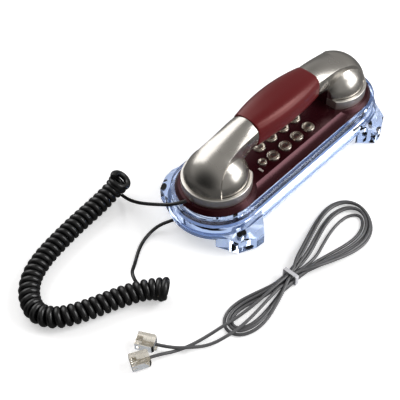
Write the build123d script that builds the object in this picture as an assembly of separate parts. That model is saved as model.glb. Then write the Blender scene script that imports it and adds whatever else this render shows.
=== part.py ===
from build123d import *
import os
from math import atan2, cos, degrees, pi, radians, sin, tan

os.makedirs("parts", exist_ok=True)

# A desk and wall telephone, lying on its feet. Millimetres. Y runs along the phone, with the
# earpiece at +Y and the mouthpiece at -Y, X across it and Z up. The floor is z = 0.

# ---- driving dimensions
HALF_SPAN = 66.0          # from the middle of the phone to the centre of either handset cup
RIM_R = 34.7              # foot of the clear frame
RIM_TOP_R = 32.5          # clear frame above its step
RIM_IN_R = 29.1           # inside of the clear frame
RIM_BOTTOM = 10.0         # underside of the frame, held up by the legs
STEP_Z = 17.0
STEP_TOP_Z = 19.5
RIM_TOP = 27.5
HOUSING_R = 29.4          # top housing where it lies on the clear frame
HOUSING_EDGE_Z = 28.2
DECK_Z = 31.0
DECK_T = 1.6
DISC_TOP_R = 27.2         # round ends of the deck
WAIST_X = 21.2            # half width of the deck between its round ends
SKIRT_Z = 20.2            # lower edge of the top housing inside the frame
WALL = 1.6
CRADLE_R = 16.8
CRADLE_Z = 33.0
KEY_PITCH = 13.3
KEY_R = 4.65
KEY_TOP = 32.5
KEY_TRAVEL = 1.2
KEY_ROW_1_Y = 19.2
SMALL_KEY_R = 3.2
SMALL_KEY_Y = -30.7
KEY_GAP = 0.25            # between a key and its hole
BAND_R = 25.0             # lower band of each handset cup
BAND_BOTTOM = 31.2
BAND_TOP = 38.4
BALL_R = 23.0
BALL_H = 20.2
CUP_FACE_Y = 47.5         # flat inner face of each cup
SHELL = 1.8
GRIP_END_Y = 33.0
GRIP_END_A = 12.9         # half width of the grip at its ends
GRIP_END_B = 10.3         # half height there
GRIP_END_Z = 58.9
GRIP_MID_A = 18.0
GRIP_MID_B = 11.2
GRIP_MID_Z = 60.6
SEAM = 0.3
HOOK_TRAVEL = 3.5
CORD_D = 3.0              # one strand of the handset cord
COIL_D = 13.0             # outside of its coil
LINE_D = 2.2              # line cord
PLUG_L = 12.3
PLUG_W = 9.65
PLUG_H = 6.6
KEYHOLE_Y = 50.0          # half the spacing of the wall keyholes
KEYHOLE_R = 4.0


def save(name, part):
    solids = part.solids()
    shape = solids[0] if len(solids) == 1 else Compound(children=list(solids))
    export_step(shape, f"parts/{name}.step")
    print(f"{name:18s} {len(solids)} solids {sum(s.volume for s in solids):10.1f} mm3")


def stadium(radius, z0, z1):
    face = SlotCenterToCenter(2 * HALF_SPAN, 2 * radius, rotation=90)
    return Pos(0, 0, z0) * extrude(face, z1 - z0)


def disc(x, y, z0, z1, radius):
    return Pos(x, y, (z0 + z1) / 2) * Cylinder(radius, z1 - z0)


def block(x0, x1, y0, y1, z0, z1):
    return Pos((x0 + x1) / 2, (y0 + y1) / 2, (z0 + z1) / 2) * Box(x1 - x0, y1 - y0, z1 - z0)


def edges_at(part, z):
    return part.edges().filter_by(lambda e: abs(e.bounding_box().min.Z - z) < 0.01
                                  and abs(e.bounding_box().max.Z - z) < 0.01)


def other_end(part):
    return mirror(part, about=Plane.XZ)


# ---- clear frame with its four faceted legs
FOOT_R = 3.2
FOOT_H = 1.8
FOOT_X = 38.0
FOOT_Y = 75.5
LEG_FOOT = 1.0            # clear plastic stands this far above the floor
LEG_PLAN = [(22, -91.5), (37.6, -85.2), (43.6, -73.0), (44.4, -66.0), (33.0, -56.0), (25, -64)]


def leg():
    part = Pos(0, 0, LEG_FOOT) * extrude(make_face(Polyline(*LEG_PLAN, close=True)), 18.0)
    facets = [((36, -64, 18.6), (0.62, -0.1, 0.78)),
              ((33, -80, 18.0), (0.42, -0.52, 0.75)),
              ((41.5, -79, 10.5), (0.83, -0.4, 0.42))]
    for point, out in facets:
        part = split(part, bisect_by=Plane(origin=point, z_dir=out), keep=Keep.BOTTOM)
    return part


def all_legs():
    one = leg()
    right = [one, other_end(one)]
    return right + [mirror(p, about=Plane.YZ) for p in right]


JACK_W = 12.6
JACK_Z0 = 12.2
JACK_Z1 = 20.0
JACK_BACK_Y = HALF_SPAN + RIM_IN_R - 16.4
KEYHOLE_SLOT = 2.1


def crystal_base():
    foot = stadium(RIM_R, RIM_BOTTOM, STEP_TOP_Z)
    foot = chamfer(edges_at(foot, STEP_TOP_Z), STEP_TOP_Z - STEP_Z, RIM_R - RIM_TOP_R - 0.1)
    upper = stadium(RIM_TOP_R, RIM_BOTTOM, RIM_TOP)
    upper = chamfer(edges_at(upper, RIM_TOP), 0.7)
    part = foot + upper
    for piece in all_legs():
        part += piece
    part -= stadium(RIM_IN_R, RIM_BOTTOM - 12, RIM_TOP + 1)
    part -= stadium(RIM_TOP_R + 0.7, RIM_BOTTOM - 12, RIM_BOTTOM + 2.2)
    part -= block(-JACK_W / 2, JACK_W / 2, HALF_SPAN, HALF_SPAN + 40, RIM_BOTTOM - 1, JACK_Z1)
    for sx in (-1, 1):
        for sy in (-1, 1):
            part -= disc(sx * FOOT_X, sy * FOOT_Y, 0, FOOT_H, FOOT_R)
    return part


def rubber_foot(sx, sy):
    part = disc(sx * FOOT_X, sy * FOOT_Y, 0, FOOT_H, FOOT_R)
    return chamfer(edges_at(part, 0), 0.3)


# ---- top housing: dumbbell deck, hollow waist sides and two cradles
def deck_outline(radius, waist, z0, z1):
    part = block(-waist, waist, -HALF_SPAN, HALF_SPAN, z0, z1)
    for s in (-1, 1):
        part += disc(0, s * HALF_SPAN, z0, z1, radius)
    return part


def waist_ramp():
    low = HOUSING_EDGE_Z
    curve = ThreePointArc((HOUSING_R, low), (25.0, low + 0.75), (WAIST_X, DECK_Z - 0.1))
    lines = Polyline((WAIST_X, DECK_Z - 0.1), (0, DECK_Z - 0.1), (0, RIM_TOP + 0.1),
                     (HOUSING_R, RIM_TOP + 0.1), (HOUSING_R, low))
    face = Plane.XZ * make_face(curve + lines)
    right = Pos(0, HALF_SPAN + 8, 0) * extrude(face, 2 * HALF_SPAN + 16)
    return (right + mirror(right, about=Plane.YZ)) & stadium(HOUSING_R, 20, 40)


PLUNGER_Y = HALF_SPAN - 4.0
PLUNGER_X = 5.0
PLUNGER_HALF_Y = 3.5
TAB_X = 7.4
TAB_Y0 = 48.0
TAB_Y1 = 50.8
TAB_TOP = 43.6
LAMP_X = 15.5
LAMP_Y = -37.0
LAMP_L = 4.2
LAMP_W = 1.5
POSTS = [(-17.5, 40.0), (17.5, 40.0), (-17.5, -46.0), (17.5, -46.0)]
POST_R = 3.2
SCREW_R = 1.3


def key_places():
    names = ["1", "2", "3", "4", "5", "6", "7", "8", "9", "star", "0", "hash"]
    places = {}
    for i, name in enumerate(names):
        places[name] = ((i % 3 - 1) * KEY_PITCH, KEY_ROW_1_Y - (i // 3) * KEY_PITCH)
    return places


SMALL_KEYS = {"redial": (11.7, SMALL_KEY_Y), "flash": (-11.7, SMALL_KEY_Y)}


def top_housing():
    part = waist_ramp() + stadium(HOUSING_R, RIM_TOP + 0.1, HOUSING_EDGE_Z)
    for s in (-1, 1):
        cone_h = DECK_Z - HOUSING_EDGE_Z
        part += Pos(0, s * HALF_SPAN, DECK_Z - cone_h / 2) * Cone(HOUSING_R - 0.15, DISC_TOP_R, cone_h)
    part += block(-WAIST_X, WAIST_X, -HALF_SPAN, HALF_SPAN, RIM_TOP + 0.1, DECK_Z)
    part += stadium(RIM_IN_R - 0.3, SKIRT_Z, RIM_TOP + 0.2)
    inner_top = DECK_Z - DECK_T
    part -= stadium(RIM_IN_R - 0.3 - WALL, SKIRT_Z - 1, RIM_TOP - 1.0)
    part -= deck_outline(DISC_TOP_R - 2.0, WAIST_X - 1.8, SKIRT_Z, inner_top)
    for s in (-1, 1):
        rim = disc(0, s * HALF_SPAN, DECK_Z - 0.2, CRADLE_Z, CRADLE_R)
        rim = fillet(edges_at(rim, CRADLE_Z), 0.8)
        part += rim
    for x, y in POSTS:
        part += disc(x, y, SKIRT_Z + 0.6, inner_top + 0.2, POST_R)
        part -= disc(x, y, SKIRT_Z - 1, inner_top - 1.4, SCREW_R)
    for x, y in key_places().values():
        part -= disc(x, y, inner_top - 1, DECK_Z + 1, KEY_R + KEY_GAP)
    for x, y in SMALL_KEYS.values():
        part -= disc(x, y, inner_top - 1, DECK_Z + 1, SMALL_KEY_R + KEY_GAP)
    part -= Pos(LAMP_X, LAMP_Y, DECK_Z) * Box(LAMP_L + 0.2, LAMP_W + 0.2, 8)
    part -= block(-PLUNGER_X - 0.3, PLUNGER_X + 0.3, PLUNGER_Y - PLUNGER_HALF_Y - 0.3,
                  PLUNGER_Y + PLUNGER_HALF_Y + 0.3, SKIRT_Z, CRADLE_Z + 1)
    part -= block(-TAB_X, TAB_X, TAB_Y0, TAB_Y1, inner_top - 0.4, DECK_Z + 3)
    return part


def hanger_tab():
    part = block(-TAB_X, TAB_X, TAB_Y0, TAB_Y1, DECK_Z - DECK_T - 0.4, TAB_TOP)
    part = fillet(edges_at(part, TAB_TOP), 0.9)
    return part + block(-TAB_X - 1, TAB_X + 1, TAB_Y0 - 0.8, TAB_Y1 + 0.8, DECK_Z - DECK_T - 1.6,
                        DECK_Z - DECK_T - 0.02)


def key(x, y, radius):
    part = disc(x, y, DECK_Z - DECK_T - 0.2, KEY_TOP, radius)
    part = fillet(edges_at(part, KEY_TOP), 0.7)
    dish = Pos(x, y, KEY_TOP + 17.6) * Sphere(18.0)
    part -= dish
    part += disc(x, y, DECK_Z - DECK_T - 1.4, DECK_Z - DECK_T - 0.15, radius + 0.7)
    return part + disc(x, y, BOARD_TOP + 4.2, DECK_Z - DECK_T - 1.3, 1.8)


def call_lamp():
    part = Pos(LAMP_X, LAMP_Y, DECK_Z - 1.0) * Box(LAMP_L, LAMP_W, 2.7)
    return part + Pos(LAMP_X, LAMP_Y, DECK_Z - 2.9) * Box(LAMP_L + 1.2, LAMP_W + 1.2, 1.6)


# ---- inside the base
PLATE_T = 2.0
PAN_FLOOR = 1.4
BOARD_Z = 20.6
BOARD_TOP = 22.1
BOARD_X = 21.0


def keyhole_pair(z0, z1, grow=0.0):
    cut = None
    for s in (-1, 1):
        hole = disc(0, s * KEYHOLE_Y, z0, z1, KEYHOLE_R + grow)
        neck = block(-KEYHOLE_SLOT - grow, KEYHOLE_SLOT + grow, s * KEYHOLE_Y,
                     s * KEYHOLE_Y + 7 + grow, z0, z1)
        end = disc(0, s * KEYHOLE_Y + 7, z0, z1, KEYHOLE_SLOT + grow)
        cut = hole + neck + end if cut is None else cut + hole + neck + end
    return cut


def base_plate():
    part = stadium(RIM_TOP_R + 0.5, RIM_BOTTOM, RIM_BOTTOM + PLATE_T)
    part -= keyhole_pair(RIM_BOTTOM - 1, RIM_BOTTOM + PLATE_T + 1)
    for x, y in POSTS:
        part -= disc(x, y, RIM_BOTTOM - 1, RIM_BOTTOM + PLATE_T + 1, SCREW_R + 0.3)
        part -= disc(x, y, RIM_BOTTOM - 1, RIM_BOTTOM + 1.2, 2.9)
    teeth = 23
    for i in range(teeth):
        a = radians(-125 + i * 70 / (teeth - 1))
        r = RIM_TOP_R - 0.7
        tooth = Rot(0, 0, degrees(a)) * Box(2.4, 1.2, 1.4)
        part += Pos(r * cos(a), -HALF_SPAN + r * sin(a), RIM_BOTTOM - 0.6) * tooth
    return part


def base_pan():
    z0 = RIM_BOTTOM + PLATE_T + 0.05
    part = stadium(RIM_IN_R - 0.3, z0, SKIRT_Z - 0.1)
    part -= stadium(RIM_IN_R - 0.3 - WALL, z0 + PAN_FLOOR, SKIRT_Z + 1)
    part -= keyhole_pair(z0 - 1, z0 + PAN_FLOOR + 1, 2.0)
    for s in (-1, 1):
        y = s * KEYHOLE_Y + 3
        cover = block(-7.6, 7.6, y - 9.5, y + 9.5, z0, z0 + 5.6)
        part += cover - block(-6.4, 6.4, y - 8.3, y + 8.3, z0 - 1, z0 + 4.4)
    for x, y in POSTS:
        part += disc(x, y, z0, SKIRT_Z + 0.5, POST_R)
        part -= disc(x, y, z0 - 1, SKIRT_Z + 1, SCREW_R + 0.3)
    part -= block(-JACK_W / 2, JACK_W / 2, HALF_SPAN, HALF_SPAN + 40, JACK_Z0 - 0.2, JACK_Z1)
    return part


def base_screw(x, y):
    head_z = RIM_BOTTOM + 1.2
    part = disc(x, y, head_z - 1.1, head_z, 2.6)
    return part + disc(x, y, head_z - 0.1, SKIRT_Z + 6, SCREW_R)


def main_board():
    part = block(-BOARD_X, BOARD_X, -42, 36, BOARD_Z, BOARD_TOP)
    part += block(-12, 12, 34, HALF_SPAN + 8, BOARD_Z, BOARD_TOP)
    part += block(-8, 0, -36, -30, BOARD_TOP - 0.1, BOARD_TOP + 1.0)
    part += Pos(0, 0, BOARD_Z - 1.3) * Box(14, 10, 2.8)
    for x, y in POSTS:
        part -= disc(x, y, BOARD_Z - 5, BOARD_TOP + 5, POST_R + 0.4)
    return part


def keypad_membrane():
    part = block(-19, 19, -27.5, 26, BOARD_TOP + 0.02, BOARD_TOP + 0.9)
    for x, y in key_places().values():
        part += Pos(x, y, BOARD_TOP + 1.6) * Cone(4.6, 2.4, 1.6)
    for x, y in SMALL_KEYS.values():
        part += disc(x, y, BOARD_TOP + 0.02, BOARD_TOP + 0.9, 4.4)
        part += Pos(x, y, BOARD_TOP + 1.6) * Cone(3.6, 2.4, 1.6)
    part -= block(-9, 1, -38, -28.9, BOARD_TOP, BOARD_TOP + 3)
    return part


def hook_plunger():
    top = CRADLE_Z + 0.25
    part = block(-PLUNGER_X, PLUNGER_X, PLUNGER_Y - PLUNGER_HALF_Y, PLUNGER_Y + PLUNGER_HALF_Y,
                 DECK_Z - 4.5, top)
    part = fillet(edges_at(part, top), 1.0)
    return part


def hook_switch():
    part = block(-3.5, 3.5, PLUNGER_Y - 3.2, PLUNGER_Y + 3.2, BOARD_TOP + 0.02, BOARD_TOP + 3.2)
    return part + disc(0, PLUNGER_Y, BOARD_TOP + 3.1, BOARD_TOP + 4.1, 1.2)


def ringer():
    y = -HALF_SPAN - 3
    part = disc(0, y, 13.6, 17.0, 11.0)
    part -= disc(0, y, 15.9, 18.0, 9.6)
    return part + disc(0, y, 15.85, 16.3, 8.5)


def ballast():
    part = block(-17, 17, -24, 30, 13.6, 16.6)
    return fillet(part.edges().filter_by(Axis.Z), 3)


def line_jack():
    y1 = HALF_SPAN + RIM_IN_R + 3.0
    part = block(-JACK_W / 2 + 0.1, JACK_W / 2 - 0.1, JACK_BACK_Y, y1, JACK_Z0 + 0.05, JACK_Z1 - 0.1)
    part -= block(-4.95, 4.95, y1 - 13.2, y1 + 1, JACK_Z0 + 0.5, JACK_Z0 + 7.2)
    for i in range(4):
        x = (i - 1.5) * 1.02
        part += block(x - 0.2, x + 0.2, y1 - 13.3, y1 - 12.2, JACK_Z0 + 4.0, JACK_Z0 + 7.3)
    return part


GLAND_A = radians(-113.5)


def cord_gland():
    direction = Vector(cos(GLAND_A), sin(GLAND_A), 0)
    start = Vector(0, -HALF_SPAN, 6.4) + direction * 21
    place = Plane(origin=start, z_dir=direction)
    part = place * (Pos(0, 0, 4.5) * Cylinder(3.4, 9))
    for i in range(3):
        part -= place * (Pos(0, 0, 4.5 + i * 1.6) * (Cylinder(3.6, 0.6) - Cylinder(2.6, 0.7)))
    foot = Pos(start + direction * 2) * (Pos(0, 0, 1.78) * Cylinder(2.2, 3.6))
    return part + foot


# ---- handset
def ball():
    arc = EllipticalCenterArc((0, 0), BALL_R, BALL_H, start_angle=0, arc_size=90)
    face = make_face(arc + Polyline((0, BALL_H), (0, 0), (BALL_R, 0)))
    return Pos(0, HALF_SPAN, BAND_TOP) * revolve(Plane.XZ * face, Axis.Z)


HOOD = [
    # along Y, turn from upright, half width, crease, crown, flank x and r, foot x and r
    (GRIP_END_Y + SEAM, 90, 12.85, 58.9, 69.2, 11.2, 52.4, 7.0, 48.8),
    (38.5, 90, 12.3, 62.3, 69.1, 11.6, 55.0, 9.0, 48.4),
    (45.0, 90, 12.1, 64.6, 68.7, 11.0, 57.0, 10.5, 46.6),
    (52.0, 90, 12.1, 65.3, 68.0, 10.8, 57.0, 11.0, 44.6),
    (59.0, 90, 12.3, 64.0, 66.3, 10.8, 55.0, 11.0, 42.4),
    (66.0, 90, 12.7, 60.0, 62.9, 11.2, 51.0, 11.0, 41.4),
    (66.0, 62, 14.3, 19.3, 23.0, 12.4, 10.0, 11.0, 3.0),
    (66.0, 32, 16.4, 17.0, 23.1, 14.0, 9.0, 11.0, 2.5),
    (66.0, 0, 18.0, 15.0, 23.4, 15.5, 8.0, 11.0, 2.0),
]


def hood_section(row):
    y, turn, w, crease, crown, fx, fr, bx, br = row
    origin = (0, y, 0) if turn == 90 and y < HALF_SPAN else (0, HALF_SPAN, BAND_TOP)
    lift = BAND_TOP if turn == 90 and y >= HALF_SPAN else 0
    out = (0, -sin(radians(turn)), cos(radians(turn)))
    place = Plane(origin=origin, x_dir=(1, 0, 0), z_dir=out)
    crease, crown, fr, br = crease - lift, crown - lift, fr - lift, br - lift
    top = ThreePointArc((w, crease), (0, crown), (-w, crease))
    left = ThreePointArc((-w, crease), (-fx, fr), (-bx, br))
    foot = Line((-bx, br), (bx, br))
    right = ThreePointArc((bx, br), (fx, fr), (w, crease))
    return place * make_face(top + left + foot + right)


def hood():
    return loft([hood_section(row) for row in HOOD])


CAP_NOTCH_X = 8.2
CAP_NOTCH_TOP = 44.6


def handset_cap():
    inner_face = block(-30, 30, 20, CUP_FACE_Y, BAND_TOP - 2, 46.4)
    part = hood() + ball() - inner_face
    room = disc(0, HALF_SPAN, BAND_TOP - 2, 44.5, 20.4) + disc(0, HALF_SPAN, 44, 50.4, 17.0)
    room += disc(0, HALF_SPAN, 50, 55.6, 10.4)
    room &= block(-30, 30, CUP_FACE_Y + SHELL, 100, 30, 70)
    neck = Pos(0, (GRIP_END_Y + HALF_SPAN) / 2, 55.2) * Rot(90, 0, 0) * Cylinder(5.2, 30)
    return part - room - neck


def cup_profile(radius, z0, z1, face_y):
    return disc(0, HALF_SPAN, z0, z1, radius) - block(-30, 30, 20, face_y, z0 - 1, z1 + 1)


GRILLE_R = 19.2


def handset_cup():
    part = cup_profile(BAND_R, BAND_BOTTOM, BAND_TOP, CUP_FACE_Y)
    part = fillet(edges_at(part, BAND_TOP).sort_by(SortBy.LENGTH)[-1:], 0.7)
    part -= cup_profile(BAND_R - 2.2, BAND_BOTTOM + 2.2, BAND_TOP + 1, CUP_FACE_Y + SHELL)
    part -= disc(0, HALF_SPAN, BAND_BOTTOM - 1, BAND_BOTTOM + 3, CRADLE_R + 0.5)
    return part


def grille():
    z0 = BAND_BOTTOM + 2.22
    part = disc(0, HALF_SPAN, z0, z0 + 1.0, GRILLE_R)
    part &= cup_profile(BAND_R - 2.3, z0 - 1, z0 + 3, CUP_FACE_Y + SHELL + 0.1)
    for ring_r, count in ((0.0, 1), (3.2, 6), (6.4, 12), (9.6, 18)):
        for i in range(count):
            a = 2 * pi * i / count
            part -= disc(ring_r * cos(a), HALF_SPAN + ring_r * sin(a), z0 - 1, z0 + 3, 0.75)
    return part


def speaker():
    z0 = BAND_BOTTOM + 3.3
    part = disc(0, HALF_SPAN, z0, z0 + 3.0, 13.5) + disc(0, HALF_SPAN, z0 + 2.9, z0 + 7.0, 8.0)
    return part - disc(0, HALF_SPAN, z0 - 1, z0 + 0.6, 12.0)


def microphone():
    z0 = BAND_BOTTOM + 3.3
    return disc(0, HALF_SPAN, z0, z0 + 5.0, 4.8) + disc(0, HALF_SPAN, z0, z0 + 1.2, 8.0)


def grip_section(y, inset):
    t = abs(y) / GRIP_END_Y
    a = GRIP_MID_A + (GRIP_END_A - GRIP_MID_A) * t * t
    b = GRIP_MID_B + (GRIP_END_B - GRIP_MID_B) * t * t
    z = GRIP_MID_Z + (GRIP_END_Z - GRIP_MID_Z) * t * t
    place = Plane(origin=(0, y, z), x_dir=(1, 0, 0), z_dir=(0, -1, 0))
    return place * Ellipse(a - inset, b - inset)


def grip_solid(inset, reach):
    stations = [-reach, -0.68 * reach, -0.36 * reach, 0, 0.36 * reach, 0.68 * reach, reach]
    return loft([grip_section(y, inset) for y in stations])


SCREW_YS = (20.0, -20.0)


def grip_shell():
    part = grip_solid(0, GRIP_END_Y) - grip_solid(2.0, GRIP_END_Y + 0.01)
    for y in SCREW_YS:
        part -= disc(0, y, 40, 50.35, 2.6) + disc(0, y, 50, 53, 1.3)
    return part


def handset_weight():
    part = block(-7, 7, -24, 24, 55.5, 58.6)
    for y in SCREW_YS:
        part += disc(0, y, 51.4, 55.6, 3.0)
        part -= disc(0, y, 50, 58.0, 1.2)
    return part


def handset_screw(y):
    return disc(0, y, 49.5, 50.3, 2.4) + disc(0, y, 50.2, 57.5, 1.15)


BOOT_R = 2.1
BOOT_L = 8.5
BOOT_A = radians(-112)    # heading of the handset lead as it leaves the mouth cup
BOOT_OUT = Vector(cos(BOOT_A), sin(BOOT_A), 0)
BOOT_START = Vector(1.2, -86.8, 33.6)
BOOT_END = BOOT_START + BOOT_OUT * BOOT_L


def boot_place():
    return Plane(origin=BOOT_START, z_dir=BOOT_OUT)


def lead_boot():
    part = boot_place() * (Pos(0, 0, BOOT_L / 2) * Cylinder(BOOT_R, BOOT_L))
    for i in range(2):
        groove = Cylinder(BOOT_R + 1, 0.5) - Cylinder(BOOT_R - 0.4, 0.6)
        part -= boot_place() * (Pos(0, 0, 6.0 + i * 1.3) * groove)
    return part


# ---- cords
def tube_path(points):
    corners = [Vector(*p) for p in points]
    radii = []
    for a, b, c in zip(corners, corners[1:], corners[2:]):
        turn = radians((b - a).get_angle(c - b))
        radii.append(0.45 * min((b - a).length, (c - b).length) / tan(turn / 2))
    return FilletPolyline(*corners, radius=radii), radii


def cord_tube(name, points, diameter):
    path, radii = tube_path(points)
    place = Plane(origin=path @ 0, z_dir=path % 0)
    part = sweep(place * Circle(diameter / 2), path=path)
    print(f"{name}: length {path.length:.1f}, least radius {min(radii):.1f},"
          f" volume / section x length {part.volume / (pi * diameter ** 2 / 4 * path.length):.4f}")
    return part


COIL_Z = COIL_D / 2 + 0.1
COIL_ROUTE = [(-66.2, -100.5, 8.6), (-64.4, -110.5, 7.2), (-62.6, -122, COIL_Z), (-61.4, -137, COIL_Z),
              (-59.8, -152, COIL_Z), (-57.5, -167, COIL_Z), (-54.5, -182, COIL_Z),
              (-48.5, -197, COIL_Z), (-37.5, -209, COIL_Z), (-23.5, -214.5, COIL_Z),
              (-12, -208.5, COIL_Z), (-4.6, -197, COIL_Z), (1.2, -184, COIL_Z),
              (6.6, -170, COIL_Z), (13.0, -156.5, COIL_Z), (22.5, -146.5, COIL_Z)]
LINE_Z = LINE_D / 2 + 0.1

LEAD_Z = CORD_D / 2 + 0.05
GLAND_OUT = Vector(cos(GLAND_A), sin(GLAND_A), 0)
GLAND_END = Vector(0, -HALF_SPAN, 6.4) + GLAND_OUT * 30


def xyz(vector):
    return (vector.X, vector.Y, vector.Z)


HANDSET_LEAD = [xyz(BOOT_END), xyz(BOOT_END + BOOT_OUT * 5), (-9.2, -104.2, 32.2),
                (-17.4, -106.9, 28.4), (-26.8, -107.2, 22.0), (-37.3, -106.2, 14.2),
                (-46.3, -105.0, 8.4), (-53.4, -104.2, 5.0), (-59.2, -103.6, 4.0)]
BASE_LEAD = [(7.8, -151.4, 9.6), (3.6, -147.4, 6.0), (-2.2, -143.2, 2.6), (-8.4, -138.2, LEAD_Z),
             (-13.8, -132.0, LEAD_Z), (-17.6, -125.0, LEAD_Z), (-19.8, -117.4, LEAD_Z),
             (-20.2, -110.6, 2.2), (-18.2, -104.8, 4.6), xyz(GLAND_END + GLAND_OUT * 6),
             xyz(GLAND_END)]

# ---- line cord, its hank and its two plugs
PLUG_A = ((52.5, -186.0), 62.0)
PLUG_B = ((48.5, -176.8), 28.0)
PLUG_Z = 1.9
PLUG_CORD_Z = 5.0
LINE_A = [(52.5, -186.0, PLUG_CORD_Z), (55.6, -180.17, PLUG_CORD_Z), (59.4, -172.4, 2.6),
          (62.6, -164.0, LINE_Z), (65.3, -155.5, LINE_Z), (67.8, -147.0, LINE_Z),
          (70.8, -138.9, LINE_Z)]
LINE_B = [(48.5, -176.8, PLUG_CORD_Z), (54.2, -173.77, PLUG_CORD_Z), (60.6, -168.8, 4.2),
          (66.0, -162.8, 3.8), (70.6, -156.4, 2.2), (74.2, -149.6, LINE_Z),
          (76.6, -143.4, LINE_Z), (78.0, -138.9, LINE_Z)]
HANK_BOTTOM = 0.8
HANK_TOP = 8.4
LOBES = [
    [(74.0, -76.0), (72.5, -93), (66, -107), (62.8, -119), (63.2, -128), (66.8, -134.8),
     (72.6, -138.2), (78.4, -138.2), (84.4, -134), (88, -126), (88.6, -115), (86, -101), (81.6, -76)],
    [(73.6, -81.0), (69.6, -62), (64.5, -46), (59, -28), (56.5, -13), (59, -2.5), (66, 5.5),
     (74, 7.5), (83, 5), (91, -1.5), (97, -11), (98.5, -22), (96.5, -34), (91.5, -49),
     (86, -63), (82.0, -81)],
]
LOBE_HOLES = [
    [(76.5, -96), (71.5, -110), (69.4, -120.5), (71.4, -128), (75.6, -131), (80.2, -128.6),
     (82.2, -120), (81.2, -108)],
    [(79.0, -62), (76, -48), (72.5, -36), (70, -22), (71, -10), (75.5, -4.5), (81.5, -5),
     (86.5, -11), (88, -20), (86, -32), (82.5, -48)],
]
TIE_Y = -78.5
TIE_W = 2.6


def line_hank():
    part = None
    for points in LOBES:
        slab = Pos(0, 0, HANK_BOTTOM) * extrude(make_face(Spline(*points, periodic=True)),
                                                HANK_TOP - HANK_BOTTOM)
        part = slab if part is None else part + slab
    for points in LOBE_HOLES:
        part -= extrude(make_face(Spline(*points, periodic=True)), 20)
    return part - (block(60, 100, TIE_Y - TIE_W / 2 - 0.1, TIE_Y + TIE_W / 2 + 0.1, 0, 20)
                   - block(73.2, 82.6, TIE_Y - 5, TIE_Y + 5, 0, 20))


def cord_tie():
    outer = block(72.2, 83.6, TIE_Y - TIE_W / 2, TIE_Y + TIE_W / 2, 0.05, HANK_TOP + 0.75)
    outer = fillet(outer.edges().filter_by(Axis.Y), 0.7)
    return outer - block(73.15, 82.65, TIE_Y - 5, TIE_Y + 5, HANK_BOTTOM - 0.05, HANK_TOP + 0.05)


def plug_place(plug):
    (x, y), heading = plug
    along = (cos(radians(heading)), sin(radians(heading)), 0)
    return Plane(origin=(x, y, PLUG_Z), x_dir=along, z_dir=(0, 0, 1))


def plug_body(plug):
    body = block(-PLUG_L, 0, -PLUG_W / 2, PLUG_W / 2, 0, PLUG_H)
    body = chamfer(body.edges().filter_by(Axis.Z).sort_by(Axis.X)[-2:], 1.2)
    for i in range(4):
        y = (i - 1.5) * 1.02
        body -= block(-PLUG_L - 1, -PLUG_L + 4.2, y - 0.28, y + 0.28, PLUG_H - 2.2, PLUG_H + 1)
    body -= block(-6.0, -3.0, -2.6, 2.6, PLUG_H - 1.3, PLUG_H + 1)
    tab = make_face(Polyline((-PLUG_L + 0.6, 0.05), (-PLUG_L + 1.6, -0.6), (0.8, -1.85),
                             (0.8, -1.05), (-PLUG_L + 3.0, 0.05), close=True))
    body += Pos(0, 1.6, 0) * extrude(Plane.XZ * tab, 3.2)
    return plug_place(plug) * body


def plug_contacts(plug):
    part = None
    for i in range(4):
        y = (i - 1.5) * 1.02
        blade = block(-PLUG_L + 0.3, -PLUG_L + 3.8, y - 0.22, y + 0.22, PLUG_H - 2.1, PLUG_H - 0.3)
        part = blade if part is None else part + blade
    return plug_place(plug) * part


# ---- the phone
save("crystal_base", crystal_base())
save("top_housing", top_housing())
save("hanger_tab", hanger_tab())
save("base_plate", base_plate())
save("base_pan", base_pan())
for n, (sx, sy) in enumerate([(1, 1), (-1, 1), (-1, -1), (1, -1)]):
    save(f"rubber_foot_{n + 1}", rubber_foot(sx, sy))
for n, (x, y) in enumerate(POSTS):
    save(f"base_screw_{n + 1}", base_screw(x, y))
save("main_board", main_board())
save("keypad_membrane", keypad_membrane())
for name, (x, y) in key_places().items():
    save(f"key_{name}", key(x, y, KEY_R))
for name, (x, y) in SMALL_KEYS.items():
    save(f"key_{name}", key(x, y, SMALL_KEY_R))
save("call_lamp", call_lamp())
save("hook_plunger", hook_plunger())
save("hook_switch", hook_switch())
save("ringer", ringer())
save("ballast", ballast())
save("line_jack", line_jack())
save("cord_gland", cord_gland())

cap = handset_cap()
cup = handset_cup()
slot = block(-CAP_NOTCH_X, CAP_NOTCH_X, CUP_FACE_Y - 10, CUP_FACE_Y + 4.6, 0, CAP_NOTCH_TOP)
boot_hole = boot_place() * (Pos(0, 0, BOOT_L / 2 - 1) * Cylinder(BOOT_R + 0.05, BOOT_L + 3))
save("ear_cap", cap - slot)
save("ear_cup", cup - slot)
save("mouth_cap", other_end(cap))
save("mouth_cup", other_end(cup) - boot_hole)
save("ear_grille", grille() - slot)
save("mouth_grille", other_end(grille()) - boot_hole)
save("ear_speaker", speaker())
save("microphone", other_end(microphone()))
save("grip_shell", grip_shell())
save("handset_weight", handset_weight())
for n, y in enumerate(SCREW_YS):
    save(f"handset_screw_{n + 1}", handset_screw(y))
save("lead_boot", lead_boot())

save("handset_lead", cord_tube("handset lead", HANDSET_LEAD, CORD_D))
save("cord_coil", cord_tube("coil", COIL_ROUTE, COIL_D))
save("base_lead", cord_tube("base lead", BASE_LEAD, CORD_D))
save("line_lead_a", cord_tube("line lead a", LINE_A, LINE_D))
save("line_lead_b", cord_tube("line lead b", LINE_B, LINE_D))
save("line_hank", line_hank())
save("cord_tie", cord_tie())
for name, plug in (("a", PLUG_A), ("b", PLUG_B)):
    save(f"plug_{name}", plug_body(plug))
    save(f"plug_{name}_contacts", plug_contacts(plug))
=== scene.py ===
import math

import bpy
from mathutils import Matrix, Vector


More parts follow.
